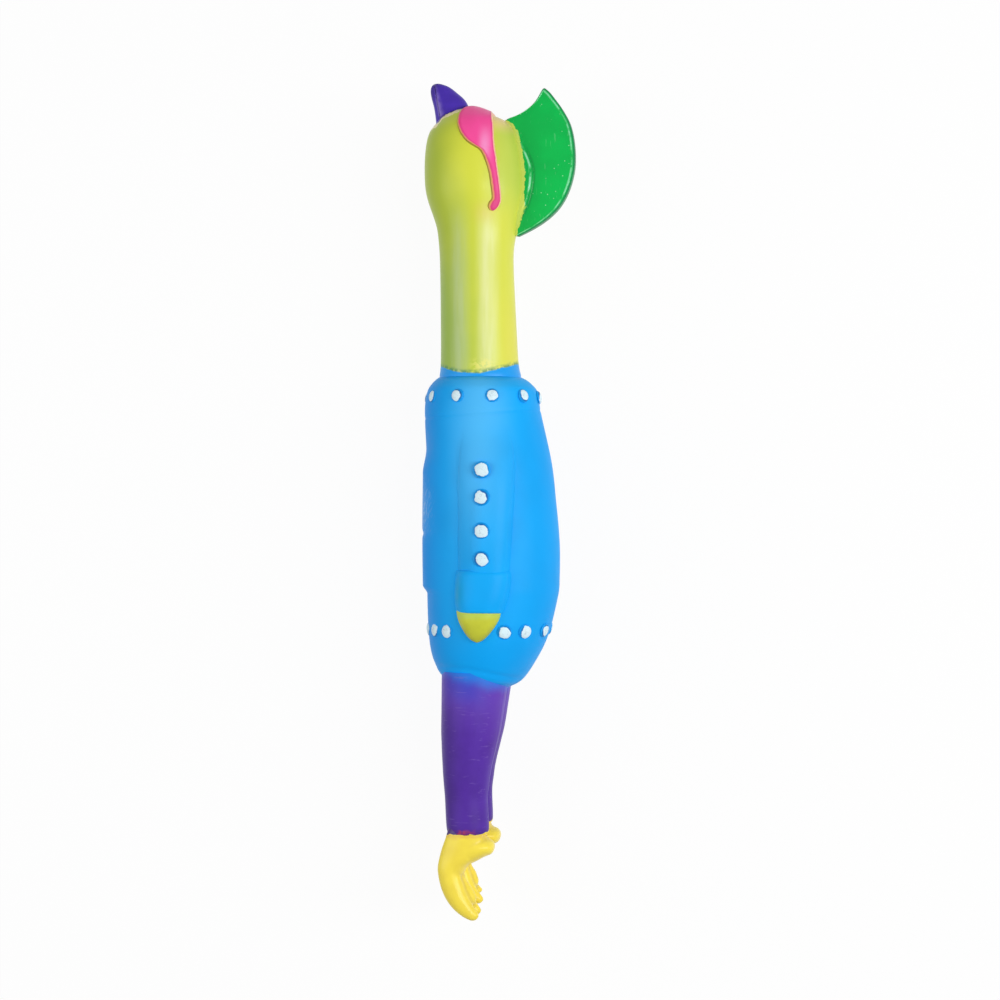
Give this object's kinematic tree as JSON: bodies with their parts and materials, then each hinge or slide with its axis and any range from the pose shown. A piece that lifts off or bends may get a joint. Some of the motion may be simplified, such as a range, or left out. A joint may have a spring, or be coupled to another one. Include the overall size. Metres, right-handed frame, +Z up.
{
  "type": "squeaky dog toy",
  "caption": "Long hollow vinyl chicken toy with a bent-back head, comb, sunglasses, studded jacket, legs and a push-in squeaker, lying on its side.",
  "frame": {"origin": "on the floor under the middle of the toy, which lies on its right side", "axes": "+Y from the toes to the beak, +X to the back of the toy where the comb is, +Z up, to its left side"},
  "size_m": [0.0736, 0.3984, 0.072],
  "materials": {
    "skin_yellow_green": "soft vinyl, sprayed, satin",
    "jacket_blue": "soft vinyl, sprayed, satin",
    "trouser_purple": "soft vinyl, sprayed, satin",
    "foot_yellow": "soft vinyl, satin",
    "comb_green": "soft vinyl, glossy paint",
    "beak_purple": "soft vinyl, painted",
    "glasses_pink": "soft vinyl, painted",
    "stud_white": "soft vinyl, thick hand paint",
    "hand_yellow_green": "soft vinyl, painted",
    "squeaker_plastic": "moulded polyethylene",
    "reed_film": "thin plastic film"
  },
  "bodies": {
    "torso": {"jacket": "jacket_blue", "jacket_front_strip": "jacket_blue", "neck": "skin_yellow_green", "right_sleeve": "jacket_blue", "right_cuff": "jacket_blue", "right_hand": "hand_yellow_green", "collar_stud_1": "stud_white", "collar_stud_2": "stud_white", "collar_stud_3": "stud_white", "collar_stud_4": "stud_white", "collar_stud_5": "stud_white", "collar_stud_6": "stud_white", "collar_stud_7": "stud_white", "collar_stud_8": "stud_white", "collar_stud_9": "stud_white", "collar_stud_10": "stud_white", "hem_stud_1": "stud_white", "hem_stud_2": "stud_white", "hem_stud_3": "stud_white", "hem_stud_4": "stud_white", "hem_stud_5": "stud_white", "hem_stud_6": "stud_white", "hem_stud_7": "stud_white", "hem_stud_8": "stud_white", "hem_stud_9": "stud_white", "hem_stud_10": "stud_white", "hem_stud_11": "stud_white", "hem_stud_12": "stud_white", "right_sleeve_stud_1": "stud_white", "right_sleeve_stud_2": "stud_white", "right_sleeve_stud_3": "stud_white", "right_sleeve_stud_4": "stud_white", "left_trouser_top": "trouser_purple", "right_trouser_top": "trouser_purple", "squeaker_housing": "squeaker_plastic", "squeaker_cap": "squeaker_plastic", "reed_seat": "squeaker_plastic"},
    "head": {"head": "skin_yellow_green", "comb": "comb_green", "upper_beak": "beak_purple", "lower_beak": "beak_purple", "sunglass_lenses": "glasses_pink", "left_temple": "glasses_pink", "right_temple": "glasses_pink"},
    "left_flank": {"left_flank_panel": "jacket_blue", "left_sleeve": "jacket_blue", "left_cuff": "jacket_blue", "left_hand": "hand_yellow_green", "left_sleeve_stud_1": "stud_white", "left_sleeve_stud_2": "stud_white", "left_sleeve_stud_3": "stud_white", "left_sleeve_stud_4": "stud_white"},
    "left_leg": {"left_trouser_leg": "trouser_purple"},
    "right_leg": {"right_trouser_leg": "trouser_purple"},
    "left_foot": {"left_foot": "foot_yellow"},
    "right_foot": {"right_foot": "foot_yellow"},
    "reed": {"squeaker_reed": "reed_film"}
  },
  "joints": [
    {"name": "neck_bend", "type": "hinge", "parent": "torso", "child": "head", "pos_m": [-0.01011, 0.08435, 0.036], "axis": [0, 0, 1], "range_deg": [-40, 40], "stiffness_Nm_per_rad": 0.12},
    {"name": "left_hip", "type": "hinge", "parent": "torso", "child": "left_leg", "pos_m": [-0.01068, -0.09613, 0.04606], "axis": [0, 0, 1], "range_deg": [-35, 35], "stiffness_Nm_per_rad": 0.06},
    {"name": "right_hip", "type": "hinge", "parent": "torso", "child": "right_leg", "pos_m": [-0.01068, -0.09613, 0.02594], "axis": [0, 0, 1], "range_deg": [-35, 35], "stiffness_Nm_per_rad": 0.06},
    {"name": "left_ankle", "type": "hinge", "parent": "left_leg", "child": "left_foot", "pos_m": [-0.01378, -0.15143, 0.04583], "axis": [0, 0, 1], "range_deg": [-20, 20], "stiffness_Nm_per_rad": 0.02},
    {"name": "right_ankle", "type": "hinge", "parent": "right_leg", "child": "right_foot", "pos_m": [-0.0138, -0.14873, 0.02617], "axis": [0, 0, 1], "range_deg": [-20, 20], "stiffness_Nm_per_rad": 0.02},
    {"name": "squeeze", "type": "slide", "parent": "torso", "child": "left_flank", "axis": [0, 0, -1], "range_m": [0, 0.008], "stiffness_N_per_m": 1200},
    {"name": "reed_buzz", "type": "hinge", "parent": "torso", "child": "reed", "pos_m": [0.01824, -0.04005, 0.02594], "axis": [0, 1, 0], "range_deg": [-5, 2], "stiffness_Nm_per_rad": 0.0002}
  ]
}
